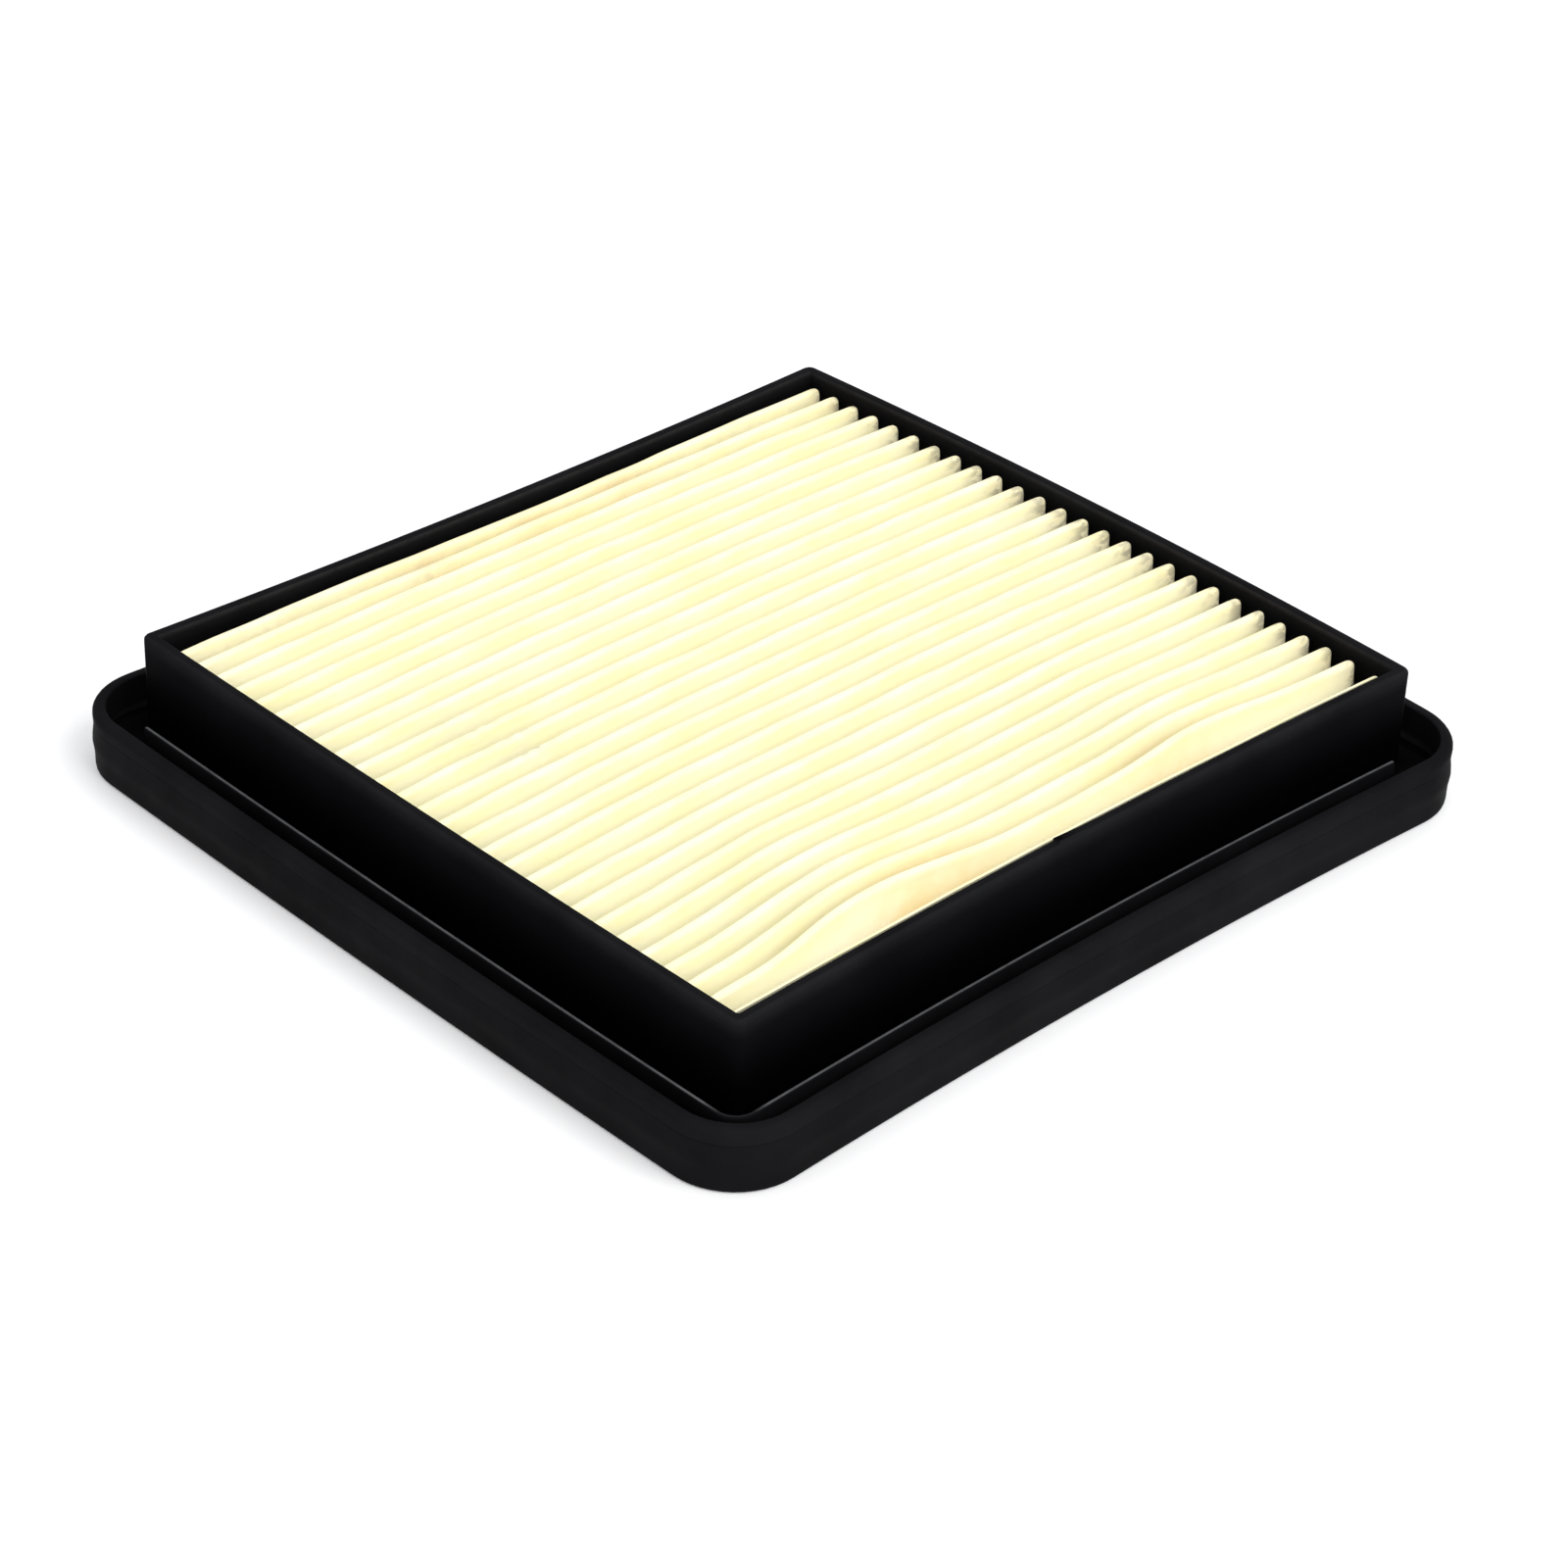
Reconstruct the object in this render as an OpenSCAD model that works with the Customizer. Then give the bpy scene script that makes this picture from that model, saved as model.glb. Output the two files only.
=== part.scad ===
// Square panel air filter for a motorcycle airbox.
// A moulded frame holds a pleated paper pack over a wire screen and a moulded grid.
// A rubber seal ring is pressed over the skirt of the frame's outer lip.
// +Z is up, the pleats run along X, and the origin is the centre of the underside.

/* [Upright wall] */
// Length of the wall along the pleats, outside to outside
wall_x = 180; // [170:1:200]
// Width of the wall across the pleats, outside to outside
wall_y = 172; // [162:1:190]
// Height of the rim above the face that the seal rests on
frame_h = 28.8; // [27:0.2:36]
// Thickness of the wall
wall_t = 2.4; // [1.8:0.1:3]
// Outer corner radius of the wall
wall_r = 1.8; // [1:0.1:4]

/* [Flange and lip] */
// Clear width of the channel between the wall and the lip
channel_w = 5.2; // [4.8:0.1:7]
// Height of the channel's floor above the resting face
channel_floor = 7; // [6:0.1:8]
// Width of the lip, from its inner rib to its outer face
lip_w = 6.4; // [5.6:0.1:7.5]
// Width of the lip's outer rim
rim_w = 2.8; // [2.4:0.1:3.2]
// Thickness of the lip's inner rib
rib_t = 1; // [0.8:0.1:1.2]
// Height of the lip's top above the resting face
lip_h = 13.6; // [13:0.1:17]
// Outer corner radius of the lip
lip_out_r = 15.5; // [12:0.5:16]
// Inner corner radius of the lip
lip_in_r = 4.2; // [3:0.1:5]
// How far the inner rib stands above the rim
rib_rise = 0.4; // [0.2:0.1:0.8]
// How far the inner rib stops short of the left, right and rear corners
rib_stop = 8.5; // [4:0.5:14]

/* [Seal ring] */
// Height of the joint line between the lip's skirt and the seal
joint_h = 10.2; // [9:0.1:10.8]
// How far the seal's outer face is set in from the skirt
joint_step = 0.2; // [0.1:0.1:0.8]
// Gap between the seal's inner edge and the outside of the wall
seal_inset = 1; // [0.5:0.1:2]

/* [Warp of the moulding] */
// Inward bow of the two sides along the pleats
side_bow = 2.8; // [0:0.1:3]
// Outward bow of the side at +X
right_bow = 3.5; // [0:0.1:4]
// Outward bow of the side at -X
left_bow = 0.9; // [0:0.1:4]

/* [Pleated pack] */
// Number of pleats
pleats = 26; // [20:1:30]
// Thickness of the paper
paper_t = 0.7; // [0.5:0.05:0.9]
// Depth of the ridges below the rim
ridge_drop = 2.4; // [1.5:0.1:5]
// Number of hot-melt threads that hold the pleats apart
threads = 4; // [2:1:6]

/* [Screen and grid] */
// Width of the ledge inside the foot of the wall
ledge_w = 4; // [3:0.1:6]
// Least clear width of a window in the grid
window = 14.4; // [12:0.2:16]
// Width of the grid's ribs
rib_w = 1.6; // [1.2:0.1:2.4]

/* [Hidden] */

arc_n = 8;                              // steps round a corner
side_n = 12;                            // steps along a bowed side
flange_t = 1.5;                         // width of the step outside the skirt, which the seal fills
fit_gap = 0.1;                          // clearance between pieces that are pressed together
shell_base = 2.8;                       // underside of the ledge
ledge_t = 2;
ledge_top = shell_base + ledge_t;
web_t = 2.2;
web_base = channel_floor - web_t;
inner_r = 0.6;                          // corner radius inside the wall
lip_in = channel_w;                     // offsets from the wall's outer face
lip_out = channel_w + lip_w;
skirt_out = lip_out - flange_t;
skirt_r = lip_out_r - flange_t;
ref_x = wall_x / 2 + lip_out;
ref_y = wall_y / 2 + lip_out;
shift_x = (left_bow - right_bow) / 2;   // keeps the origin in the middle of the box

grid_border = 3;
binding_t = 0.8;
screen_t = 0.3;
binding_w = 3.2;
screen_top = ledge_top + binding_t;
thread_t = 0.5;
thread_w = 1.6;
fold_low = screen_top + thread_t + 0.1;
fold_high = frame_h - ridge_drop;
pack_y = wall_y / 2 - wall_t - side_bow - 0.9;
pack_x = wall_x / 2 - wall_t - 1.2;
pitch = 2 * pack_y / pleats;
tip_w = 1.6;                            // outer width of a fold
flank_t = 0.6;                          // thickness of a flank, measured along Y
flap_top = fold_high - 0.4;             // top of the paper's front end
heel_out = 1;                           // how far the paper's rear end stands out from the last ridge
potting_top = fold_low + 15;
glue_top = fold_low + 9;
glue_low_y = pack_y - pitch / 2 + tip_w / 2 + 0.1;  // follows the paper's sloping front end
glue_high_y = glue_low_y + (pitch - tip_w) / 2 * (glue_top - screen_top) / (flap_top - fold_low);
glue_rear_y = pack_y + heel_out + 0.05;

// Where a point of the straight frame lies once the moulding has warped
function bowed(p) = [
    p[0] + shift_x + (p[0] > 0 ? right_bow : left_bow) * p[0] / ref_x * (1 - pow(p[1] / ref_y, 2)),
    p[1] * (1 - side_bow / ref_y * (1 - pow(p[0] / ref_x, 2)))];

// Closed outline at a distance o outside the wall's outer face, with corner radius r
function outline(o, r) =
    let (quadrant = [[1, 1], [-1, 1], [-1, -1], [1, -1]],
         hx = wall_x / 2 + o - r,
         hy = wall_y / 2 + o - r)
    [for (k = [0:3])
        let (from = [quadrant[k][0] * hx, quadrant[k][1] * hy],
             to = [quadrant[(k + 1) % 4][0] * hx, quadrant[(k + 1) % 4][1] * hy],
             edge = r * [cos(90 * (k + 1)), sin(90 * (k + 1))])
        each concat(
            [for (i = [0:arc_n])
                bowed(from + r * [cos(90 * (k + i / arc_n)), sin(90 * (k + i / arc_n))])],
            [for (j = [1:side_n - 1])
                bowed(from + (to - from) * j / side_n + edge)])];

// A slab with the outline at offset o
module slab(o, r, z0, z1) {
    translate([0, 0, z0])
        linear_extrude(z1 - z0)
            polygon(outline(o, r));
}

// A closed ring between two outlines
module ring(o_in, r_in, o_out, r_out, z0, z1) {
    translate([0, 0, z0])
        linear_extrude(z1 - z0)
            difference() {
                polygon(outline(o_out, r_out));
                polygon(outline(o_in, r_in));
            }
}

// Thin rib at the lip's inner edge. It runs round the near left corner and stops short of the others.
module lip_rib() {
    difference() {
        ring(lip_in, lip_in_r, lip_in + rib_t, lip_in_r + rib_t, web_base, lip_h + rib_rise);
        for (side = [[1, -1], [1, 1], [-1, 1]])
            translate([side[0] * (wall_x / 2 - rib_stop + lip_out),
                       side[1] * (wall_y / 2 - rib_stop + lip_out), channel_floor + lip_h])
                cube([2 * lip_out, 2 * lip_out, 2 * lip_h], center = true);
    }
}

// Wall, ledge, channel floor and lip, moulded in one piece
module frame_shell() {
    color("#1c1d20")
        union() {
            ring(-wall_t, inner_r, 0, wall_r, shell_base, frame_h);
            ring(-wall_t - ledge_w, inner_r, 0, wall_r, shell_base, ledge_top);
            ring(-wall_t, inner_r, skirt_out, skirt_r, web_base, channel_floor);
            ring(lip_out - rim_w, lip_out_r - rim_w, skirt_out, skirt_r, web_base, lip_h);
            ring(lip_out - rim_w, lip_out_r - rim_w, lip_out, lip_out_r, joint_h, lip_h);
            lip_rib();
        }
}

// Rubber ring: a flat foot under the channel and a flange up round the skirt
module seal_ring() {
    foot_out = lip_out - joint_step;
    foot_r = lip_out_r - joint_step;
    color("#242527")
        union() {
            ring(seal_inset, wall_r + seal_inset, foot_out, foot_r, 0, web_base);
            ring(skirt_out + fit_gap, skirt_r + fit_gap, foot_out, foot_r, 0, joint_h);
        }
}

// Moulded grid that drops inside the ledge and backs the screen
module support_grid() {
    edge = -wall_t - ledge_w - fit_gap;
    span = [wall_x + 2 * edge - 2 * grid_border, wall_y + 2 * edge - 2 * side_bow - 2 * grid_border];
    count = [floor(span[0] / (window + rib_w)), floor(span[1] / (window + rib_w))];
    step = [span[0] / count[0], span[1] / count[1]];
    color("#2a2b2e")
        translate([0, 0, shell_base])
            linear_extrude(ledge_t)
                difference() {
                    polygon(outline(edge, inner_r));
                    for (i = [0:count[0] - 1], j = [0:count[1] - 1])
                        translate([shift_x + (i + 0.5) * step[0] - span[0] / 2,
                                   (j + 0.5) * step[1] - span[1] / 2])
                            square([step[0] - rib_w, step[1] - rib_w], center = true);
                }
}

// Folded metal edge of the screen
module screen_binding() {
    color("#9a9da1")
        ring(-wall_t - fit_gap - binding_w, inner_r, -wall_t - fit_gap, inner_r, ledge_top, screen_top);
}

// Woven wire panel, drawn as a plain sheet halfway up its binding
module wire_screen() {
    z = ledge_top + (binding_t - screen_t) / 2;
    color("#b5b8bb")
        slab(-wall_t - fit_gap - binding_w, inner_r, z, z + screen_t);
}

// The pleated paper: one zigzag section run along X. Its front end stands up against the
// front wall, and behind its last ridge it ends in a foot at the rear wall.
module pleated_media() {
    outer = tip_w / 2;
    inner = outer - flank_t;
    upper = [for (i = [1:pleats])
        let (ridge = -pack_y + i * pitch, fold = ridge - pitch / 2)
        each [[fold - inner, fold_low + paper_t], [fold + inner, fold_low + paper_t],
              [ridge - outer, fold_high], [ridge + outer, fold_high]]];
    lower = [for (i = [pleats:-1:1])
        let (ridge = -pack_y + i * pitch, fold = ridge - pitch / 2)
        each [[ridge + inner, fold_high - paper_t], [ridge - inner, fold_high - paper_t],
              [fold + outer, fold_low], [fold - outer, fold_low]]];
    color("#f6f0cf")
        translate([shift_x - pack_x, 0, 0])
            rotate([90, 0, 90])
                linear_extrude(2 * pack_x)
                    polygon(concat([[-pack_y, flap_top], [-pack_y + flank_t, flap_top]], upper,
                                   [[pack_y + heel_out, fold_low],
                                    [pack_y + heel_out - flank_t, fold_low]], lower));
}

// Space between the pleat ends and one end wall: side is -1 or 1
module end_potting(side) {
    color("#191a1c")
        translate([0, 0, screen_top])
            linear_extrude(potting_top - screen_top)
                intersection() {
                    polygon(outline(-wall_t - fit_gap, inner_r));
                    translate([shift_x + side * (pack_x + wall_x / 2), 0])
                        square([wall_x, 2 * pack_y], center = true);
                }
}

// Bead of hot melt between one side wall and the paper's end: side is -1 or 1.
// Its inner face runs from y_low at the screen to y_high at the bead's top.
module side_glue(side, y_low, y_high) {
    color("#d9c48c")
        intersection() {
            slab(-wall_t - fit_gap / 2, inner_r, screen_top, glue_top);
            translate([shift_x - pack_x + 6, 0, 0])
                mirror([0, side < 0 ? 1 : 0, 0])
                    rotate([90, 0, 90])
                        linear_extrude(2 * pack_x - 12)
                            polygon([[y_low, screen_top], [wall_y, screen_top],
                                     [wall_y, glue_top], [y_high, glue_top]]);
        }
}

// One hot-melt thread across the lower folds
module pleat_thread(i) {
    x = shift_x + (i - (threads + 1) / 2) * 2 * pack_x / threads;
    color("#e6dcae")
        translate([x - thread_w / 2, -pack_y + pitch / 2, screen_top])
            cube([thread_w, 2 * pack_y - pitch, thread_t]);
}

frame_shell();
seal_ring();
support_grid();
screen_binding();
wire_screen();
pleated_media();
end_potting(-1);  // end_potting_left
end_potting(1);  // end_potting_right
side_glue(-1, glue_low_y, glue_high_y);  // side_glue_front
side_glue(1, glue_rear_y, glue_rear_y);  // side_glue_rear
for (i = [1:threads])
    pleat_thread(i);
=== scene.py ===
"""The looks of a square panel air filter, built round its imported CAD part.

Sizes in this file are millimetres in the row frame: +Z is up, the pleats run along X, and
the near side faces -Y. Offsets in a section are measured outwards from the wall's outer face.
"""

import math

import bmesh
import bpy
from mathutils import Matrix, Vector, noise


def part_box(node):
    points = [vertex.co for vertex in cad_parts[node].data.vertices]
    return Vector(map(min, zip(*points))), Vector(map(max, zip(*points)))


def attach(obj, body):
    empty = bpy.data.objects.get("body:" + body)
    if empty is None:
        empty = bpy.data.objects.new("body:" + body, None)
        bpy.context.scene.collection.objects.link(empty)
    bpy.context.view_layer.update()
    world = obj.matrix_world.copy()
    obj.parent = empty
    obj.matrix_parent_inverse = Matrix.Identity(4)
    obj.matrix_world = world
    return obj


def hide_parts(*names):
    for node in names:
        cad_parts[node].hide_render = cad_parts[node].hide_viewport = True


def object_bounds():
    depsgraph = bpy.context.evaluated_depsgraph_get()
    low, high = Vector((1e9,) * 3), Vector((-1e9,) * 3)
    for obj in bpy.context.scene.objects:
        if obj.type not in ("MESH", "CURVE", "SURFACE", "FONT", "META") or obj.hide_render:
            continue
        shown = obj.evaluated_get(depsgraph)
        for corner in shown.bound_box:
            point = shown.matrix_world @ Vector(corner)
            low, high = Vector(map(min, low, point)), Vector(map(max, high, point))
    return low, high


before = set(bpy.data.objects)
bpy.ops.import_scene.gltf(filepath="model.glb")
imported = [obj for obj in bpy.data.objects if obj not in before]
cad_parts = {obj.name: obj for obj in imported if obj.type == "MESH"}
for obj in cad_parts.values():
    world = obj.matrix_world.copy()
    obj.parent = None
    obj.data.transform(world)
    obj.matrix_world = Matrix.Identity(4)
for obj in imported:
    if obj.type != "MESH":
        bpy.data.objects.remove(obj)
CAD_LOW, CAD_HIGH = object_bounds()
MM = 0.001
BODY = "root"


def box_mm(node):
    """The lowest and highest corner of a CAD node, in millimetres."""
    low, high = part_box(node)
    return low / MM, high / MM


# Warp of the moulding: the long sides bow inwards and the end sides outwards
SIDE_BOW = 2.8
RIGHT_BOW = 3.5
LEFT_BOW = 0.9
SHIFT_X = (LEFT_BOW - RIGHT_BOW) / 2

# Section of the moulding
LIP_OUT = 11.6           # outer face of the lip, and its corner radius
LIP_OUT_R = 15.5
LIP_IN = 5.2             # inner face of the lip, where its thin rib stands
LIP_TOP = 13.6
RIM_IN = 8.8             # inner edge of the lip's outer rim
RIB_T = 1.0
RIB_RISE = 0.4           # how far the rib stands above the lip
SKIRT_OUT = 10.1         # outer face of the skirt that the seal is pushed over
WALL_T = 2.4
CHANNEL_FLOOR = 7.0
JOINT_Z = 10.2           # the joint line between the seal and the frame
NICK_X = -8.4            # a small step in the near rim, where two halves of the mould meet
NICK_DEPTH = 0.6
NICK_RUN = 9             # length over which the step fades out
REF_X = CAD_HIGH.x / MM - (LEFT_BOW + RIGHT_BOW) / 2
REF_Y = CAD_HIGH.y / MM + SIDE_BOW * (1 - (1 - LIP_OUT_R / REF_X) ** 2)
WALL_X = REF_X - LIP_OUT
WALL_Y = REF_Y - LIP_OUT
RIM_Z = CAD_HIGH.z / MM
SHELL_BASE = box_mm("frame_shell")[0].z
LEDGE_TOP = box_mm("support_grid")[1].z
SCREEN_TOP = box_mm("screen_binding")[1].z
LEDGE_IN = -6.4          # inner edge of the ledge that carries the pack

# Steps round a corner, and the shares of a side's length that carry a section of the moulding.
# They are close together where the rib ends and at the step in the near rim.
ARC_STEPS = 12
RIB_END = 0.055
NICK_SHARE = 0.5 + (NICK_X - SHIFT_X) / (2 * WALL_X - 6)
SIDE_SHARES = sorted([0.02, RIB_END - 0.003, RIB_END + 0.003, 0.98, 1.003 - RIB_END,
                      0.997 - RIB_END, NICK_SHARE - 0.006, NICK_SHARE - 0.001,
                      NICK_SHARE + 0.001, NICK_SHARE + 0.006]
                     + [0.08 + 0.03 * i for i in range(29)])

# The pleated pack
PLEATS = 26
PITCH = 6.14
PAPER_T = 0.6
CREST_R = 0.72           # radius of the fold's middle surface at a ridge
FOLD_R = 0.6             # the same at a lower fold
FOLD_Z = box_mm("pleated_media")[0].z + PAPER_T / 2
CREST_Z = box_mm("pleated_media")[1].z - PAPER_T / 2
MIDDLE_ROW = 13          # the ridge nearest the middle, counted from the rear wall
MIDDLE_ROW_Y = 2.0
FRONT_GAP = 3.2          # from the near wall to the end of the paper that rises beside it
END_GAP = 0.8            # from an end wall to the ridges' ends
PINCH_L = 3.0            # length over which a ridge's end closes, or half this at the left
PINCH_MIN = 0.4          # the share of its width that a closed end keeps
PINCH_DROP = 5.0         # how steeply a closed end drops as it narrows


# ---------------------------------------------------------------- outlines and sections

def bowed(x, y):
    """Where a point of the straight frame lies once the moulding has warped."""
    bow_x = RIGHT_BOW if x > 0 else LEFT_BOW
    return (x + SHIFT_X + bow_x * x / REF_X * (1 - (y / REF_Y) ** 2),
            y * (1 - SIDE_BOW / REF_Y * (1 - (x / REF_X) ** 2)))


def side_y(offset, x):
    """Distance from the middle to a long side at this offset, where the side passes x."""
    return (WALL_Y + offset) * (1 - SIDE_BOW / REF_Y * (1 - ((x - SHIFT_X) / REF_X) ** 2))


def end_x(offset, y, side):
    """Where an end side at this offset passes y; side is -1 at the left and 1 at the right."""
    half = WALL_X + offset
    bow_x = RIGHT_BOW if side > 0 else LEFT_BOW
    return side * (half + bow_x * half / REF_X * (1 - (y / REF_Y) ** 2)) + SHIFT_X


def outline(offset, radius):
    """Points of the warped rounded rectangle at this offset, anticlockwise."""
    hx, hy = WALL_X + offset - radius, WALL_Y + offset - radius
    quadrants = ((1, 1), (-1, 1), (-1, -1), (1, -1))
    points = []
    for k, (sx, sy) in enumerate(quadrants):
        nx, ny = quadrants[(k + 1) % 4]
        for i in range(ARC_STEPS + 1):
            a = math.radians(90 * (k + i / ARC_STEPS))
            points.append(bowed(sx * hx + radius * math.cos(a), sy * hy + radius * math.sin(a)))
        a = math.radians(90 * (k + 1))
        for t in SIDE_SHARES:
            points.append(bowed((sx + (nx - sx) * t) * hx + radius * math.cos(a),
                                (sy + (ny - sy) * t) * hy + radius * math.sin(a)))
    return points


def corner_weights():
    """For each point of an outline, its corner's number and 1, or 0 where the rib still runs."""
    weights = []
    for k in range(4):
        weights += [(k, 1)] * (ARC_STEPS + 1)
        for t in SIDE_SHARES:
            weights.append((k if t < 0.5 else (k + 1) % 4, int(min(t, 1 - t) < RIB_END)))
    return weights


def between(knots, value):
    """Straight-line interpolation over (position, result) knots, held on past the last two."""
    for (p0, r0), (p1, r1) in zip(knots, knots[1:]):
        if value <= p1 or (p1, r1) == knots[-1]:
            return r0 + (r1 - r0) * max(0.0, value - p0) / (p1 - p0)


def rounded(corners, steps=4):
    """A closed section from corners (offset, height, fillet radius)."""
    points = []
    for i, (o, z, radius) in enumerate(corners):
        here = Vector((o, z))
        if not radius:
            points.append(here)
            continue
        before = (Vector(corners[i - 1][:2]) - here).normalized()
        after = (Vector(corners[(i + 1) % len(corners)][:2]) - here).normalized()
        half = before.angle(after) / 2
        centre = here + (before + after).normalized() * (radius / math.sin(half))
        start = here + before * (radius / math.tan(half)) - centre
        end = here + after * (radius / math.tan(half)) - centre
        turn = math.atan2(start.x * end.y - start.y * end.x, start.dot(end))
        for s in range(steps + 1):
            points.append(centre + Matrix.Rotation(turn * s / steps, 2) @ start)
    return points


def bump(value, centre, width):
    """A smooth bump of height 1."""
    return math.exp(-(((value - centre) / width) ** 2) / 2)


def smooth(value, low, high):
    """Smooth step from 0 at low to 1 at high."""
    t = min(1.0, max(0.0, (value - low) / (high - low)))
    return t * t * (3 - 2 * t)


# ---------------------------------------------------------------- meshes

def add_mesh(name, vertices, faces, sharp_deg=35):
    """A mesh object from millimetre vertices, smooth apart from edges past the given angle."""
    mesh = bpy.data.meshes.new(name)
    mesh.from_pydata([Vector(v) * MM for v in vertices], [], faces)
    work = bmesh.new()
    work.from_mesh(mesh)
    bmesh.ops.recalc_face_normals(work, faces=work.faces)
    work.to_mesh(mesh)
    work.free()
    mesh.polygons.foreach_set("use_smooth", [True] * len(mesh.polygons))
    mesh.set_sharp_from_angle(angle=math.radians(sharp_deg))
    piece = bpy.data.objects.new(name, mesh)
    bpy.context.scene.collection.objects.link(piece)
    return piece


def add_weighted_normals(piece):
    """Keeps flat faces flat where they run into a fillet."""
    weighted = piece.modifiers.new("flat_faces", "WEIGHTED_NORMAL")
    weighted.weight = 50
    weighted.keep_sharp = True


def paint(piece, name, values):
    """A value for each vertex that the material reads."""
    layer = piece.data.attributes.new(name, "FLOAT", "POINT")
    layer.data.foreach_set("value", values)


def ring(name, section, radii, move=None):
    """A closed ring: the section swept round the moulding's outline."""
    loops = [outline(p.x, between(radii, p.x)) for p in section]
    around, along = len(loops[0]), len(section)
    vertices = [(x, y, section[i].y) for i, loop in enumerate(loops) for x, y in loop]
    if move:
        vertices = [move(v, section[i // around].x, i % around) for i, v in enumerate(vertices)]
    faces = []
    for i in range(along):
        for j in range(around):
            a, b = i * around, (i + 1) % along * around
            k = (j + 1) % around
            faces.append((a + j, a + k, b + k, b + j))
    piece = add_mesh(name, vertices, faces)
    add_weighted_normals(piece)
    return piece


def finish_piece(piece, material, slot, *nodes):
    """Gives a piece its material, puts it under the body and hides the CAD nodes that it stands
    for; the slot is not used.
    """
    piece.data.materials.append(material)
    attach(piece, BODY)
    if nodes:
        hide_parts(*nodes)
    return piece


# ---------------------------------------------------------------- materials

def new_material(name):
    """A new material using nodes, with its node tree and its Principled shader."""
    material = bpy.data.materials.new(name)
    material.use_nodes = True
    return material, material.node_tree, material.node_tree.nodes["Principled BSDF"]


def object_noise(tree, scale, detail=4.0, stretch=(1, 1, 1)):
    """Noise fixed to the object; scale is in features per metre."""
    place = tree.nodes.new("ShaderNodeTexCoord")
    spread = tree.nodes.new("ShaderNodeMapping")
    spread.inputs["Scale"].default_value = stretch
    cloud = tree.nodes.new("ShaderNodeTexNoise")
    cloud.inputs["Scale"].default_value = scale
    cloud.inputs["Detail"].default_value = detail
    tree.links.new(place.outputs["Object"], spread.inputs["Vector"])
    tree.links.new(spread.outputs["Vector"], cloud.inputs["Vector"])
    return cloud.outputs["Fac"]


def remap(tree, source, low, high, to_low, to_high):
    """Maps a value's range from low..high to to_low..to_high, held at the ends."""
    node = tree.nodes.new("ShaderNodeMapRange")
    for name, value in zip(("From Min", "From Max", "To Min", "To Max"),
                           (low, high, to_low, to_high)):
        node.inputs[name].default_value = value
    tree.links.new(source, node.inputs["Value"])
    return node.outputs["Result"]


def mix_colours(tree, factor, first, second):
    """Blends two colours; each is a socket or a plain (r, g, b)."""
    node = tree.nodes.new("ShaderNodeMix")
    node.data_type = "RGBA"
    tree.links.new(factor, node.inputs["Factor"])
    for socket, colour in ((node.inputs[6], first), (node.inputs[7], second)):
        if isinstance(colour, tuple):
            socket.default_value = (*colour, 1)
        else:
            tree.links.new(colour, socket)
    return node.outputs[2]


def painted(tree, name):
    """A value painted on the vertices."""
    node = tree.nodes.new("ShaderNodeAttribute")
    node.attribute_name = name
    return node.outputs["Fac"]


def combine(tree, operation, first, second):
    """A Math node on two values; each is a socket or a number."""
    node = tree.nodes.new("ShaderNodeMath")
    node.operation = operation
    for socket, value in zip(node.inputs, (first, second)):
        if isinstance(value, (int, float)):
            socket.default_value = value
        else:
            tree.links.new(value, socket)
    return node.outputs["Value"]


def add_bump(tree, shader, height, strength, distance_mm):
    """Surface relief from a height."""
    node = tree.nodes.new("ShaderNodeBump")
    node.inputs["Strength"].default_value = strength
    node.inputs["Distance"].default_value = distance_mm * MM
    tree.links.new(height, node.inputs["Height"])
    tree.links.new(node.outputs["Normal"], shader.inputs["Normal"])


def moulded_black(name, base, rough, grain_mm, specular, tones=None):
    """Black moulded plastic or rubber with a mottled tone and a fine grain; given tones, it also
    paints shade and a highlight from the vertex tone.
    """
    material, tree, shader = new_material(name)
    blotches = remap(tree, object_noise(tree, 55, 5), 0.35, 0.68, 0, 1)
    colour = mix_colours(tree, blotches, tuple(0.8 * c for c in base), tuple(1.2 * c for c in base))
    gloss = remap(tree, object_noise(tree, 120, 6), 0.3, 0.7, *rough)
    if tones:
        # Painted light from the vertex tone: below an open face's tone it blends to the shade
        # colour, above it to the highlight colour, broken up by noise.
        deep, highlight_colour = tones
        tone = painted(tree, "tone")
        highlight_breakup = remap(tree, object_noise(tree, 420, 6, (1, 1, 0.4)), 0.25, 0.6, 0.6, 1)
        colour = mix_colours(tree, remap(tree, tone, 0, OPEN_TONE, 0, 1), deep, colour)
        painted_highlight = combine(tree, "MULTIPLY", remap(tree, tone, OPEN_TONE, RIB_HIGHLIGHT_TONE, 0, 1), highlight_breakup)
        colour = mix_colours(tree, painted_highlight, colour, highlight_colour)
    tree.links.new(colour, shader.inputs["Base Color"])
    tree.links.new(gloss, shader.inputs["Roughness"])
    shader.inputs["Specular IOR Level"].default_value = specular
    add_bump(tree, shader, object_noise(tree, 1000 / grain_mm, 3), 0.35, 0.04)
    return material


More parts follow.
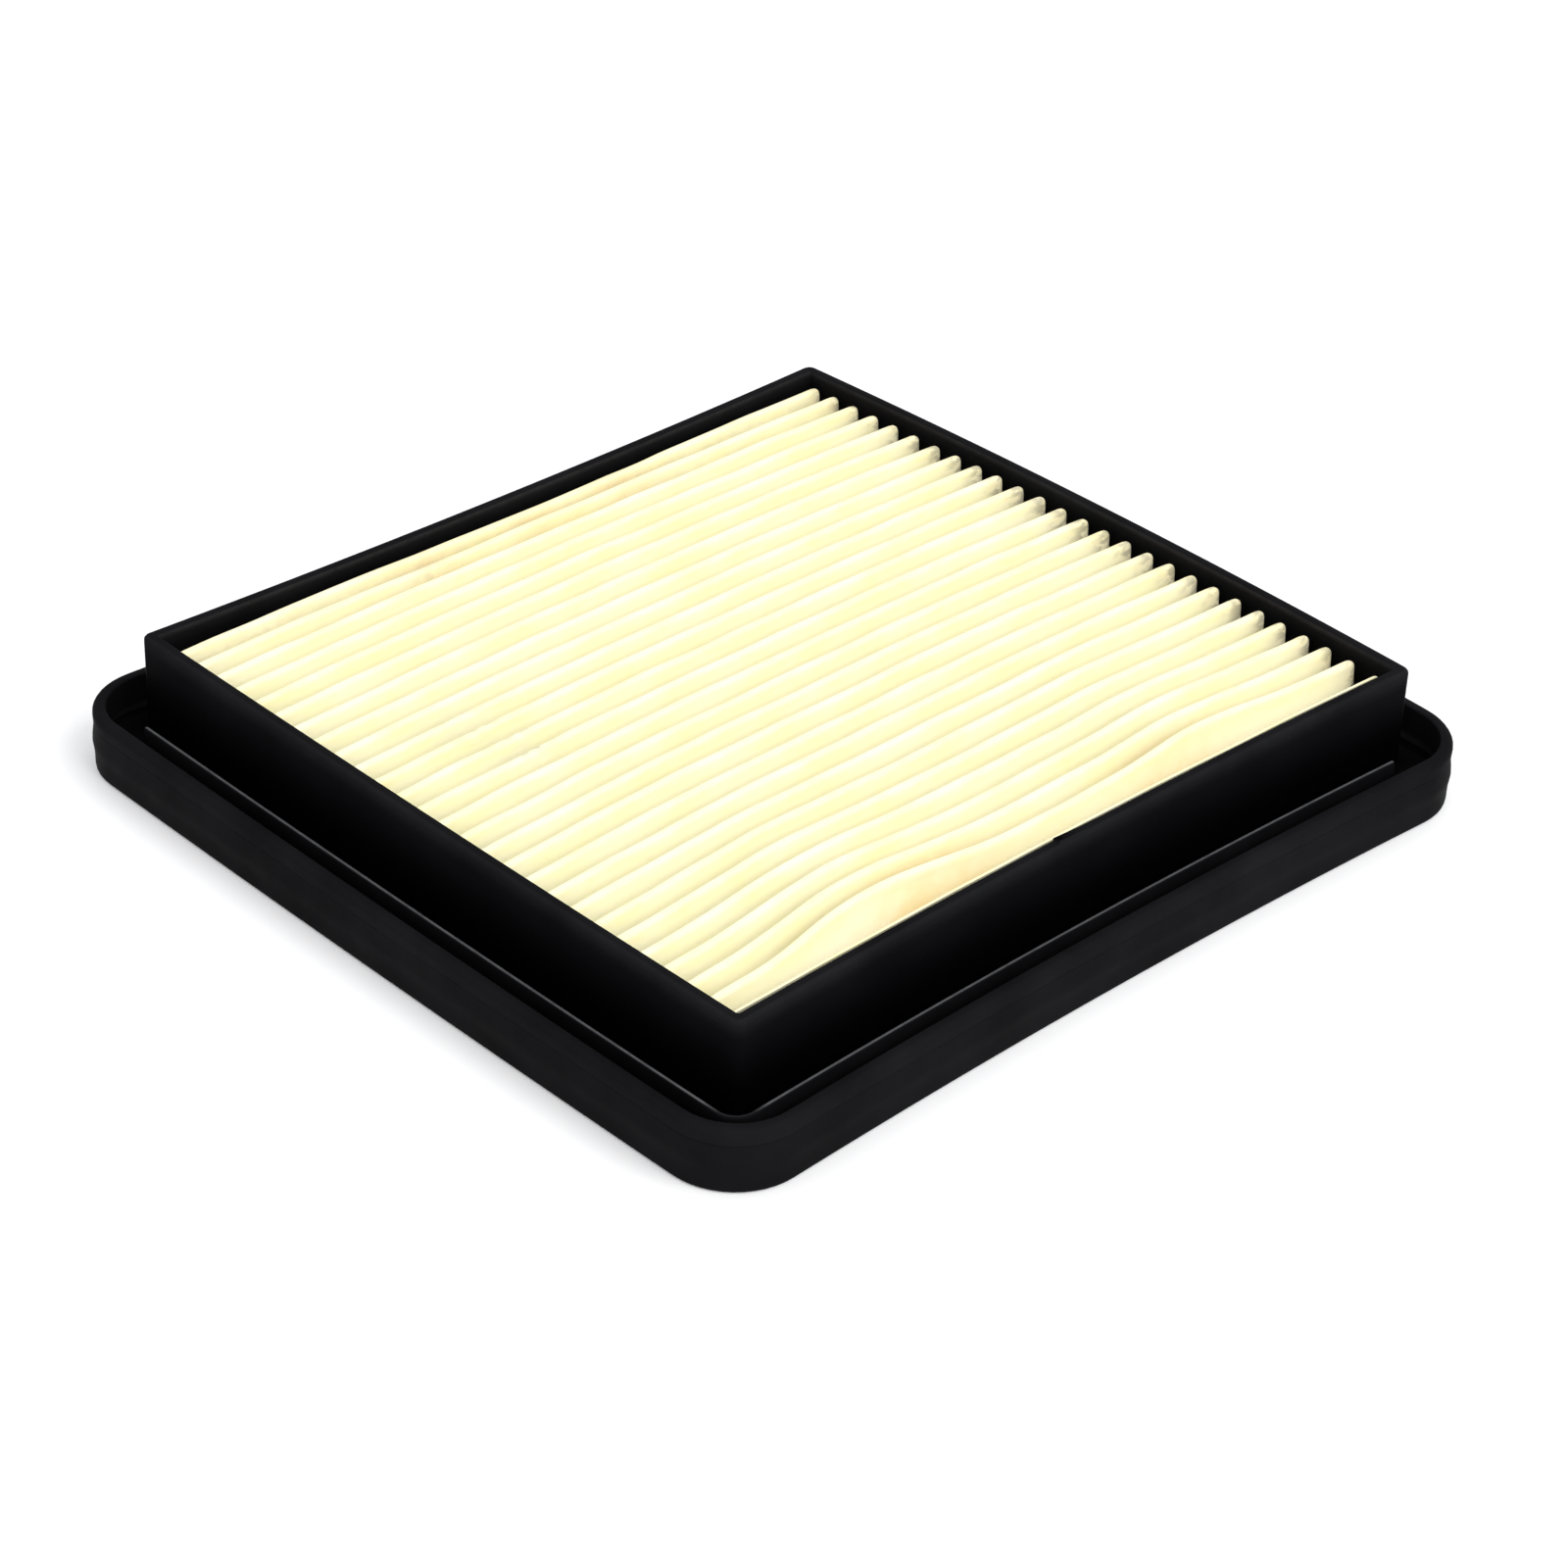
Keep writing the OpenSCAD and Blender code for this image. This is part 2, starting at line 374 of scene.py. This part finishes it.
def filter_paper_material():
    """Cream resin-treated paper: fibres, tan and grey marks, painted light that pales the
    valleys, and painted shade on the ridges' right-hand ends.
    """
    material, tree, shader = new_material("filter_paper")
    fibres = object_noise(tree, 900, 6, (0.35, 1, 1))
    clouds = remap(tree, object_noise(tree, 180, 5, (0.4, 1, 1)), 0.36, 0.64, 0, 1)
    cream = mix_colours(tree, clouds, (0.985, 0.922, 0.52), (0.985, 0.928, 0.645))
    # Painted light: the paper is paler and whiter lower down in the folds, lifting the shade in the
    # valleys.
    cream = mix_colours(tree, painted(tree, "valley_light"), cream, (1.0, 0.99, 0.86))
    cream = mix_colours(tree, remap(tree, fibres, 0.35, 0.7, 0, 0.3), cream, (0.99, 0.95, 0.78))
    patchy = remap(tree, object_noise(tree, 260, 5), 0.32, 0.62, 0.45, 1)
    # Tan patches, and painted shade on the ridges' right-hand ends.
    tan = combine(tree, "MULTIPLY", painted(tree, "tan_and_shade"), patchy)
    colour = mix_colours(tree, tan, cream, (0.95, 0.81, 0.50))
    flecks = remap(tree, object_noise(tree, 620, 5, (0.5, 1, 1)), 0.44, 0.56, 0, 1)
    # Grey marks, and painted shade on the ridges' right-hand ends.
    grey_marks_and_shade_mix = combine(tree, "MULTIPLY", painted(tree, "grey_marks_and_shade"), flecks)
    colour = mix_colours(tree, grey_marks_and_shade_mix, colour, (0.20, 0.19, 0.16))
    tree.links.new(colour, shader.inputs["Base Color"])
    tree.links.new(remap(tree, fibres, 0.3, 0.7, 0.78, 0.95), shader.inputs["Roughness"])
    shader.inputs["Specular IOR Level"].default_value = 0.25
    add_bump(tree, shader, fibres, 0.5, 0.08)
    return material


def hot_melt_material():
    """Amber glue with a smooth skin and cloudy colour."""
    material, tree, shader = new_material("hot_melt")
    clouds = remap(tree, object_noise(tree, 180, 4), 0.35, 0.65, 0, 1)
    tree.links.new(mix_colours(tree, clouds, (0.62, 0.42, 0.16), (0.80, 0.62, 0.30)),
                   shader.inputs["Base Color"])
    tree.links.new(remap(tree, clouds, 0, 1, 0.28, 0.42), shader.inputs["Roughness"])
    shader.inputs["Subsurface Weight"].default_value = 0.2
    shader.inputs["Subsurface Scale"].default_value = 0.001
    add_bump(tree, shader, object_noise(tree, 500, 3), 0.3, 0.1)
    return material


def metal_material(name, dark, light, rough):
    """Plated steel with a little tarnish."""
    material, tree, shader = new_material(name)
    tarnish = remap(tree, object_noise(tree, 150, 6), 0.35, 0.7, 0, 1)
    tree.links.new(mix_colours(tree, tarnish, light, dark), shader.inputs["Base Color"])
    tree.links.new(remap(tree, tarnish, 0, 1, rough, rough + 0.2), shader.inputs["Roughness"])
    shader.inputs["Metallic"].default_value = 1
    add_bump(tree, shader, object_noise(tree, 1500, 2, (0.1, 1, 1)), 0.2, 0.03)
    return material


# ---------------------------------------------------------------- frame and seal

NEAR_CORNER = 2          # the corner that the rib runs round
CORNERS = corner_weights()


def shape_frame(vertex, offset, station):
    """Lowers the rib where it stops short of a corner, and steps the near rim at the nick."""
    x, y, z = vertex
    corner, share = CORNERS[station]
    if LIP_IN - 0.1 < offset < LIP_IN + RIB_T + 0.1 and z > CHANNEL_FLOOR + 1:
        if share and corner != NEAR_CORNER:
            z = CHANNEL_FLOOR + 0.3
    if y < 0 and -WALL_T - 0.1 < offset < -0.5 and z > RIM_Z - 4 and NICK_X < x < NICK_X + NICK_RUN:
        y += NICK_DEPTH * (1 - (x - NICK_X) / NICK_RUN)
    return x, y, z


# Painted light on the wall's outer and inner face, against height: painted shade low down, paler
# along the rim, and a painted highlight just below the rim on the inner face. 0 is the painted
# shade of the deep channel, 0.3 an open face and 1 the painted highlight on the rib.
WALL_TONES = [(14, 0.0), (16, 0.01), (20, 0.05), (25, 0.12), (26.3, 0.2), (27, 0.29), (27.9, 0.31),
              (28.7, 0.33)]
INNER_TONES = [(20, 0.05), (25.5, 0.15), (27.2, 0.28), (28.4, 0.45), (28.75, 0.3)]
# Painted shade in the channel and the groove, and the painted highlight on the rib
CHANNEL_TONE = 0.06
GROOVE_TONE = 0.18
OPEN_TONE = 0.3
RIB_HIGHLIGHT_TONE = 1.0
BEND_LOSS = 0.65         # how much of the rib's painted highlight fades round the near corner


def frame_tone(offset, place, station):
    """Painted light on the frame: painted shade in the channel, the groove and low on the walls,
    painted highlights on the rib and high on the inner face, and a dark seam at the nick.
    """
    x, y, z = place
    corner, share = CORNERS[station]
    if offset < -0.9:
        seam = bump(x, NICK_X + 0.8, 0.9) if y < 0 and z > RIM_Z - 1 else 0.0
        return between(INNER_TONES, z) * (1 - seam)
    if offset < 1:
        return between(WALL_TONES, z)
    # The rib's top: a painted highlight along the two near sides, fading round the near corner, and
    # painted shade along the far sides.
    if z > LIP_TOP + RIB_RISE - 0.25 and offset < LIP_IN + 0.75 * RIB_T:
        near = max(-x - WALL_X, -y - WALL_Y)
        bend = min(-x - WALL_X, -y - WALL_Y)
        return 0.0 if near < 1 else RIB_HIGHLIGHT_TONE - BEND_LOSS * smooth(bend, -1.5, 1.5)
    # Painted shade in the channel, in the pockets at the corners where the rib stops, and in the
    # groove.
    pocket = share and corner != NEAR_CORNER and offset < RIM_IN - 1
    if offset < LIP_IN or pocket:
        return CHANNEL_TONE
    return GROOVE_TONE if offset < RIM_IN - 1 else OPEN_TONE


def build_frame():
    """The moulded wall, channel, rib and rim."""
    rib_out, rib_top = LIP_IN + RIB_T, LIP_TOP + RIB_RISE
    corners = [
        (LEDGE_IN, SHELL_BASE, 0.3), (0, SHELL_BASE, 0.8), (0, LEDGE_TOP, 0.4),
        (SKIRT_OUT, LEDGE_TOP, 0.3), (SKIRT_OUT, JOINT_Z + 0.03, 0.2),
        (LIP_OUT - 0.2, JOINT_Z + 0.03, 0.15), (LIP_OUT, LIP_TOP, 1.3), (RIM_IN, LIP_TOP, 0.5),
        (RIM_IN, CHANNEL_FLOOR, 0.7), (rib_out, CHANNEL_FLOOR, 0.7), (rib_out, rib_top, 0.3),
        (LIP_IN, rib_top, 0.4), (LIP_IN, CHANNEL_FLOOR, 0.9), (0, CHANNEL_FLOOR, 0.9),
        *((0, z, 0) for z, _ in WALL_TONES[:-2]), (0, RIM_Z, 1.0), (-WALL_T, RIM_Z, 0.35),
        *((-WALL_T, z, 0) for z, _ in INNER_TONES[2::-1]), (-WALL_T, LEDGE_TOP, 0.3),
        (LEDGE_IN, LEDGE_TOP, 0.3)]
    radii = [(LEDGE_IN, 0.6), (-WALL_T, 0.6), (0, 1.8), (LIP_IN, 4.2), (rib_out, 5.2),
             (RIM_IN, LIP_OUT_R - LIP_OUT + RIM_IN), (LIP_OUT, LIP_OUT_R)]
    section = rounded(corners)
    piece = ring("moulded_frame", section, radii, shape_frame)
    around = len(CORNERS)
    paint(piece, "tone", [frame_tone(section[i // around].x, v.co / MM, i % around)
                          for i, v in enumerate(piece.data.vertices)])
    return finish_piece(piece, frame_plastic, "frame_plastic", "frame_shell")


def build_seal():
    """The rubber ring: a flat foot, and a flange with a soft swelling round its outer face."""
    face = LIP_OUT - 0.15
    swelling, swelling_z, tuck = 0.32, 6.5, 0.12
    heights = [1.2 + 0.55 * i for i in range(16)]
    outer = [(face + swelling * bump(z, swelling_z, 1.3) - tuck * smooth(z, 8.6, JOINT_Z), z, 0)
             for z in heights]
    inner = SKIRT_OUT + 0.1
    corners = ([(1, 0, 0.3), (face - 0.05, 0, 0.9)] + outer +
               [(face - tuck, JOINT_Z, 0.15), (inner, JOINT_Z, 0.2), (inner, LEDGE_TOP, 0),
                (1, LEDGE_TOP, 0.3)])
    radii = [(1, 2.8), (inner, LIP_OUT_R - LIP_OUT + inner), (LIP_OUT, LIP_OUT_R)]
    piece = ring("rubber_seal", rounded(corners), radii)
    return finish_piece(piece, seal_rubber, "seal_rubber", "seal_ring")


# ---------------------------------------------------------------- pleated paper

def ridge_y(row, x):
    """Y of ridge number row at x. Row 0 is at the rear wall and row PLEATS is the front end."""
    y = MIDDLE_ROW_Y - PITCH * (row - MIDDLE_ROW) - 2.6 * ((x - 20) / 100) ** 2
    if row >= PLEATS:
        return -side_y(-WALL_T, x) + FRONT_GAP
    humps = 4.7 * bump(x, -44, 15) + 2.8 * bump(x, 45, 13)
    y += humps * math.exp(-(PLEATS - 1 - row) / 3.8)
    y -= (3.4 * bump(x, 6, 48) + 0.2) * math.exp(-row / 1.8)
    y += 0.25 * noise.noise(Vector((x / 12, row * 7.3, 0.5)))
    return y


def ridge_ends(y):
    """X of a ridge's two ends, a little short of the end walls."""
    return end_x(-WALL_T, y, -1) + END_GAP, end_x(-WALL_T, y, 1) - END_GAP


def half_pleat(width, crest_r):
    """Points (distance from the ridge, height) of the middle surface, from ridge to lower fold."""
    points = []
    tall = CREST_Z - FOLD_Z
    crest_steps = 6 if crest_r else 1
    for i in range(crest_steps):
        a = math.radians(90 * i / crest_steps)
        points.append((crest_r * math.sin(a), CREST_Z - crest_r * (1 - math.cos(a))))
    for t in (0, 0.33, 0.67):
        away = crest_r + (width - crest_r - FOLD_R) * t + 0.18 * math.sin(math.pi * t)
        points.append((away, CREST_Z - crest_r - (tall - crest_r - FOLD_R) * (t or 0.04)))
    for i in range(5):
        a = math.radians(90 * i / 4)
        points.append((width - FOLD_R * math.cos(a), FOLD_Z + FOLD_R * (1 - math.sin(a))))
    return points


def ridge_point(row, share):
    """(x, y) on a ridge at a share of its length, and how far the ridge is pinched there."""
    x = 0
    for _ in range(3):
        y = ridge_y(row, x)
        left, right = ridge_ends(y)
        x = left + (right - left) * share
    to_end = max(0.0, min(2 * (x - left), right - x))
    if to_end > PINCH_L:
        return x, y, 1.0
    return x, y, PINCH_MIN + (1 - PINCH_MIN) * math.sqrt(1 - (1 - to_end / PINCH_L) ** 2)


def pleat_section(share):
    """Middle surface of the whole pack where each ridge is at this share of its length."""
    ridges = [ridge_point(row, share) for row in range(PLEATS + 1)]
    heel_y = side_y(-WALL_T, ridges[0][0]) - 0.5
    points = []
    for row, (x, y, pinch) in enumerate(ridges):
        lift = 0.2 * noise.noise(Vector((x / 16, row * 3.1, 7.5))) - PINCH_DROP * (1 - pinch) ** 2
        rear_x, rear_y = (x, 2 * heel_y - y) if row == 0 else ridges[row - 1][:2]
        rear = half_pleat((rear_y - y) / 2, CREST_R if row < PLEATS else 0)
        halves = [(rear[::-1], 1, (rear_x - x) / 2)]
        if row < PLEATS:
            front = half_pleat((y - ridges[row + 1][1]) / 2, CREST_R)
            halves.append((front[1:-1], -1, (ridges[row + 1][0] - x) / 2))
        for half, side, slip in halves:
            for away, z in half:
                upper = (z - FOLD_Z) / (CREST_Z - FOLD_Z)
                squeeze = 1 - (1 - pinch) * min(1.0, upper * 1.6)
                points.append((x + slip * (1 - upper), y + side * away * squeeze, z + lift * upper))
    return points


def stations():
    """Shares of a ridge's length, closer together near its ends."""
    length = WALL_X * 2 - 8
    near = [d / length for d in (0, 0.35, 0.9, 1.7, 2.7, 3.9)]
    count = 60
    first = near[-1]
    middle = [first + (1 - 2 * first) * i / count for i in range(1, count)]
    return near + middle + [1 - s for s in reversed(near)]


def at_right_end(x, y, begin, full):
    """1 at the ridges' right-hand ends, where shade is painted, and 0 elsewhere; the paper's own
    front end is left out.
    """
    return smooth(x - SHIFT_X, WALL_X - begin, WALL_X - full) * (1 - smooth(-y, 75, 78))


def tan_and_shade_at(x, y, z):
    """Tan patches below the ridge tops by the front wall where the pleats bow away, and at the
    rear; painted shade on the ridges' right-hand ends.
    """
    deep = smooth(CREST_Z - z, 0.4, 2.2)
    front = 1.2 * smooth(-y, 61, 67) * deep * (bump(x, -28, 10) + 0.6 * bump(x, 37, 10) + 0.1)
    rear = 0.7 * smooth(y, 69, 73) * (bump(x, -27, 7) + bump(x, 1, 6) + bump(x, 26, 7) + 0.2)
    # The last term is painted shade: tan on the ridges' right-hand ends.
    return min(1.0, front + rear + 0.35 * at_right_end(x, y, 7, 3))


def grey_marks_and_shade_at(x, y, z):
    """Grey marks: a faint one by the rear wall and streaks along the ridges, greyer lower down by
    the rear wall, and painted shade on the ridges' right-hand ends.
    """
    mark = 0.2 * bump(x, -29, 3.2) * bump(y, 73, 1.8)
    streaks = sum(0.7 * bump(x, -64 + 2 * i, 5) * bump(y, 27 - 6.3 * i, 1.3) for i in range(4))
    rear = 0.2 * smooth(y, 70, 75) * smooth(CREST_Z - z, 0.6, 3)
    on_ridge = smooth(z, CREST_Z - 3, CREST_Z - 0.5)
    # The last term is painted shade: grey on the ridges' right-hand ends.
    return min(1.0, (mark + streaks) * on_ridge + rear + 0.5 * at_right_end(x, y, 6, 2.5))


def build_paper():
    """The pleated paper as one thin closed sheet."""
    rows = [pleat_section(s) for s in stations()]
    count = len(rows[0])
    top, bottom = [], []
    for points in rows:
        for i, (x, y, z) in enumerate(points):
            before, after = points[max(0, i - 1)], points[min(count - 1, i + 1)]
            run = Vector((after[1] - before[1], after[2] - before[2])).normalized()
            dy, dz = -run.y * PAPER_T / 2, run.x * PAPER_T / 2
            top.append((x, y - dy, z - dz))
            bottom.append((x, y + dy, z + dz))
    shift = len(top)
    faces = []
    for s in range(len(rows) - 1):
        for i in range(count - 1):
            a, b = s * count + i, (s + 1) * count + i
            faces.append((a, a + 1, b + 1, b))
            faces.append((shift + a, shift + b, shift + b + 1, shift + a + 1))
    last = (len(rows) - 1) * count
    for i in range(count - 1):
        faces.append((i, shift + i, shift + i + 1, i + 1))
        faces.append((last + i, last + i + 1, shift + last + i + 1, shift + last + i))
    for s in range(len(rows) - 1):
        for i in (0, count - 1):
            a, b = s * count + i, (s + 1) * count + i
            faces.append((a, b, shift + b, shift + a))
    piece = add_mesh("filter_paper", top + bottom, faces, 60)
    places = [v.co / MM for v in piece.data.vertices]
    # Painted light that pales the paper lower down in the folds, then tan and grey marks that both
    # carry painted shade on the ridges' right-hand ends.
    paint(piece, "valley_light", [smooth(CREST_Z - p.z, 0.4, 4.5) for p in places])
    paint(piece, "tan_and_shade", [tan_and_shade_at(*p) for p in places])
    paint(piece, "grey_marks_and_shade", [grey_marks_and_shade_at(*p) for p in places])
    finish_piece(piece, filter_paper, "filter_paper", "pleated_media")
    return piece


# ---------------------------------------------------------------- glue, threads and compound

def strip_between(name, lower, upper, low_z, high_z, x_range, steps=90, across=6):
    """A bead along X between two Y limits, with an uneven top; the limits are functions of x."""
    vertices, faces = [], []
    for s in range(steps + 1):
        x = x_range[0] + (x_range[1] - x_range[0]) * s / steps
        y0, y1 = lower(x), upper(x)
        for i in range(across + 1):
            t = i / across
            vertices.append((x, y0 + (y1 - y0) * t, high_z(x) - 1.1 * math.sin(math.pi * t)))
        for i in range(across, -1, -1):
            vertices.append((x, y0 + (y1 - y0) * i / across, low_z))
    loop = 2 * (across + 1)
    for s in range(steps):
        for i in range(loop):
            a, b = s * loop + i, s * loop + (i + 1) % loop
            faces.append((a, b, b + loop, a + loop))
    faces.append(tuple(range(loop - 1, -1, -1)))
    faces.append(tuple(steps * loop + i for i in range(loop)))
    return add_mesh(name, vertices, faces, 50)


def build_side_glue():
    """The hot melt that bonds the paper's two ends to the side walls."""
    reach = WALL_X - 5
    front_width, rear_width, gap = 5.4, 1.0, 0.05
    front_top, rear_top = 15.5, 15.0

    def wavy(level, seed):
        return lambda x: level + 0.9 * noise.noise(Vector((x / 13, seed, 0))) \
            + 0.4 * noise.noise(Vector((x / 4, seed, 3)))

    front = strip_between("glue_bead_front", lambda x: -side_y(-WALL_T, x) + gap,
                          lambda x: -side_y(-WALL_T, x) + front_width, SCREEN_TOP,
                          wavy(front_top, 2.0), (-reach, reach))
    rear = strip_between("glue_bead_rear", lambda x: side_y(-WALL_T, x) - rear_width,
                         lambda x: side_y(-WALL_T, x) - gap, SCREEN_TOP,
                         wavy(rear_top, 6.0), (-reach, reach))
    finish_piece(front, hot_melt, "hot_melt", "side_glue_front")
    finish_piece(rear, hot_melt, "hot_melt", "side_glue_rear")


def build_threads():
    """Hot-melt threads laid across the lower folds, sagging a little between them."""
    nodes = sorted(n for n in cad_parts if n.startswith("pleat_thread_"))
    for number, node in enumerate(nodes, 1):
        low, high = box_mm(node)
        centre_x, radius = (low.x + high.x) / 2, (high.x - low.x) / 2
        steps, sides = PLEATS * 6, 8
        vertices, faces = [], []
        for s in range(steps + 1):
            y = low.y + (high.y - low.y) * s / steps
            swell = 0.8 + 0.2 * math.cos(2 * math.pi * (y - ridge_y(MIDDLE_ROW, centre_x)) / PITCH)
            x = centre_x + 0.35 * noise.noise(Vector((y / 9, number * 5.0, 0)))
            for i in range(sides):
                a = 2 * math.pi * i / sides
                vertices.append((x + radius * swell * math.cos(a), y,
                                 low.z + 0.28 + 0.27 * swell * math.sin(a)))
        for s in range(steps):
            for i in range(sides):
                a, b = s * sides + i, s * sides + (i + 1) % sides
                faces.append((a, b, b + sides, a + sides))
        faces.append(tuple(range(sides - 1, -1, -1)))
        faces.append(tuple(steps * sides + i for i in range(sides)))
        piece = add_mesh(f"glue_thread_{number}", vertices, faces, 60)
        finish_piece(piece, hot_melt, "hot_melt", node)


# ---------------------------------------------------------------- screen and grid

WIRE_R = 0.16
WIRE_PITCH = 3.2


def wire(vertices, faces, points):
    """Adds one round wire through these points."""
    sides = 5
    start = len(vertices)
    for n, p in enumerate(points):
        run = (points[min(n + 1, len(points) - 1)] - points[max(0, n - 1)]).normalized()
        across = run.cross(Vector((0, 0, 1))).normalized()
        up = across.cross(run)
        for i in range(sides):
            a = 2 * math.pi * i / sides
            vertices.append(p + (across * math.cos(a) + up * math.sin(a)) * WIRE_R)
    for n in range(len(points) - 1):
        for i in range(sides):
            a, b = start + n * sides + i, start + n * sides + (i + 1) % sides
            faces.append((a, b, b + sides, a + sides))
    faces.append(tuple(start + i for i in range(sides - 1, -1, -1)))
    end = start + (len(points) - 1) * sides
    faces.append(tuple(end + i for i in range(sides)))


def build_screen():
    """The woven wire panel: each wire passes over one and under the next."""
    level = (LEDGE_TOP + SCREEN_TOP) / 2
    inset = -WALL_T - 1.2
    vertices, faces = [], []
    cols = int(2 * (WALL_X + inset) / WIRE_PITCH)
    rows = int(2 * (WALL_Y + inset) / WIRE_PITCH)
    for j in range(rows + 1):
        y = (j - rows / 2) * WIRE_PITCH
        if abs(y) > side_y(inset, 0):
            continue
        left, right = end_x(inset, y, -1), end_x(inset, y, 1)
        points = [Vector((left, y, level))]
        for i in range(cols + 1):
            x = (i - cols / 2) * WIRE_PITCH + SHIFT_X
            if left + 1 < x < right - 1:
                points.append(Vector((x, y, level + WIRE_R * (-1) ** (i + j))))
        points.append(Vector((right, y, level)))
        wire(vertices, faces, points)
    for i in range(cols + 1):
        x = (i - cols / 2) * WIRE_PITCH + SHIFT_X
        reach = side_y(inset, x)
        points = [Vector((x, -reach, level))]
        for j in range(rows + 1):
            y = (j - rows / 2) * WIRE_PITCH
            if abs(y) < reach - 1:
                points.append(Vector((x, y, level - WIRE_R * (-1) ** (i + j))))
        points.append(Vector((x, reach, level)))
        wire(vertices, faces, points)
    piece = add_mesh("woven_screen", vertices, faces, 80)
    return finish_piece(piece, screen_wire, "screen_wire", "wire_screen")


def build_binding():
    """The folded metal edge that holds the wire panel."""
    out, width = -WALL_T - 0.1, 3.2
    edge = out - width
    fold = edge + 0.5
    corners = [(out, LEDGE_TOP, 0.25), (out, SCREEN_TOP, 0.25), (edge, SCREEN_TOP - 0.05, 0.15),
               (edge, SCREEN_TOP - 0.25, 0.08), (fold, SCREEN_TOP - 0.28, 0.08),
               (fold, LEDGE_TOP + 0.28, 0.08), (edge, LEDGE_TOP + 0.25, 0.08),
               (edge, LEDGE_TOP + 0.05, 0.15)]
    piece = ring("screen_edge", rounded(corners, 3), [(edge, 0.6), (out, 0.6)])
    return finish_piece(piece, binding_metal, "binding_metal", "screen_binding")


def dress_cad_nodes():
    """Materials for the CAD nodes that stay: the grid and the compound at the pleat ends."""
    for name, material in (("support_grid", grid_plastic), ("end_potting_left", potting),
                           ("end_potting_right", potting)):
        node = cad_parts[name]
        node.data.materials.clear()
        node.data.materials.append(material)
        bevel = node.modifiers.new("soft_edges", "BEVEL")
        bevel.width = 0.25 * MM
        bevel.segments = 2
        bevel.limit_method = "ANGLE"
        bevel.angle_limit = math.radians(40)


# ---------------------------------------------------------------- floor, lights and camera

FLOOR_GLOW = 0.11
SURROUND_STRENGTH = 0.98
SOFTBOX_SIZE = 1.6       # metres, as is its place
SOFTBOX_WATTS = 30
SOFTBOX_PLACE = (0.2, -1.7, 1.75)


def build_floor():
    """A plain pale floor, lit a little from below like a light table."""
    bpy.ops.mesh.primitive_plane_add(size=12)
    floor = bpy.context.object
    floor.name = "floor"
    material, tree, shader = new_material("floor")
    tone = remap(tree, object_noise(tree, 3, 3), 0.3, 0.7, 0, 1)
    tree.links.new(mix_colours(tree, tone, (0.90, 0.90, 0.90), (0.93, 0.93, 0.93)),
                   shader.inputs["Base Color"])
    shader.inputs["Roughness"].default_value = 0.9
    shader.inputs["Specular IOR Level"].default_value = 0.1
    shader.inputs["Emission Color"].default_value = (1, 1, 1, 1)
    shader.inputs["Emission Strength"].default_value = FLOOR_GLOW
    floor.data.materials.append(material)


def add_lights():
    """An even pale surround, and a large softbox from the right-hand near side."""
    world = bpy.data.worlds.new("studio")
    world.use_nodes = True
    surround = world.node_tree.nodes["Background"]
    surround.inputs["Color"].default_value = (0.98, 0.985, 1.0, 1)
    surround.inputs["Strength"].default_value = SURROUND_STRENGTH
    bpy.context.scene.world = world
    data = bpy.data.lights.new("softbox", "AREA")
    data.shape = "SQUARE"
    data.size = SOFTBOX_SIZE
    data.energy = SOFTBOX_WATTS
    lamp = bpy.data.objects.new("softbox", data)
    lamp.location = SOFTBOX_PLACE
    lamp.rotation_euler = (-lamp.location).to_track_quat("-Z", "Y").to_euler()
    bpy.context.scene.collection.objects.link(lamp)
    bpy.context.scene.view_settings.view_transform = "Standard"


CAMERA_LENS = 95.35
CAMERA_AIM = Vector((-17.4, -19.53, RIM_Z / 2))
CAMERA_DISTANCE = 797.9
CAMERA_HEADING = 45.265  # degrees from +X towards +Y
CAMERA_DROP = 32.64      # degrees below the horizon
CAMERA_ROLL = 2.262


def add_camera():
    """The camera at the photograph's viewing angle."""
    heading, drop, roll = (math.radians(a) for a in (CAMERA_HEADING, CAMERA_DROP, CAMERA_ROLL))
    forward = Vector((math.cos(heading) * math.cos(drop), math.sin(heading) * math.cos(drop),
                      -math.sin(drop)))
    level = Vector((math.sin(heading), -math.cos(heading), 0))
    above = level.cross(forward)
    right = level * math.cos(roll) + above * math.sin(roll)
    up = above * math.cos(roll) - level * math.sin(roll)
    data = bpy.data.cameras.new("camera")
    data.lens = CAMERA_LENS
    data.sensor_width = 36
    camera = bpy.data.objects.new("camera", data)
    turn = Matrix((right, up, -forward)).transposed().to_4x4()
    camera.matrix_world = Matrix.Translation((CAMERA_AIM - forward * CAMERA_DISTANCE) * MM) @ turn
    bpy.context.scene.collection.objects.link(camera)
    bpy.context.scene.camera = camera


# ---------------------------------------------------------------- the scene

add_camera()
build_floor()
add_lights()

# The frame's last two colours are its painted shade and its painted highlight.
frame_plastic = moulded_black("frame_plastic", (0.0086, 0.0086, 0.0095), (0.38, 0.55), 0.35, 0.004,
                              ((0.0010, 0.0010, 0.0013), (0.100, 0.101, 0.104)))
seal_rubber = moulded_black("seal_rubber", (0.0066, 0.0066, 0.0073), (0.5, 0.66), 0.5, 0.015)
grid_plastic = moulded_black("grid_plastic", (0.011, 0.011, 0.012), (0.4, 0.55), 0.35, 0.1)
potting = moulded_black("potting", (0.005, 0.005, 0.005), (0.3, 0.6), 1.5, 0.1)
filter_paper = filter_paper_material()
hot_melt = hot_melt_material()
screen_wire = metal_material("screen_wire", (0.30, 0.29, 0.27), (0.62, 0.62, 0.61), 0.28)
binding_metal = metal_material("binding_metal", (0.42, 0.42, 0.41), (0.70, 0.70, 0.71), 0.34)

build_frame()
build_seal()
build_screen()
build_binding()
build_paper()
build_side_glue()
build_threads()
dress_cad_nodes()
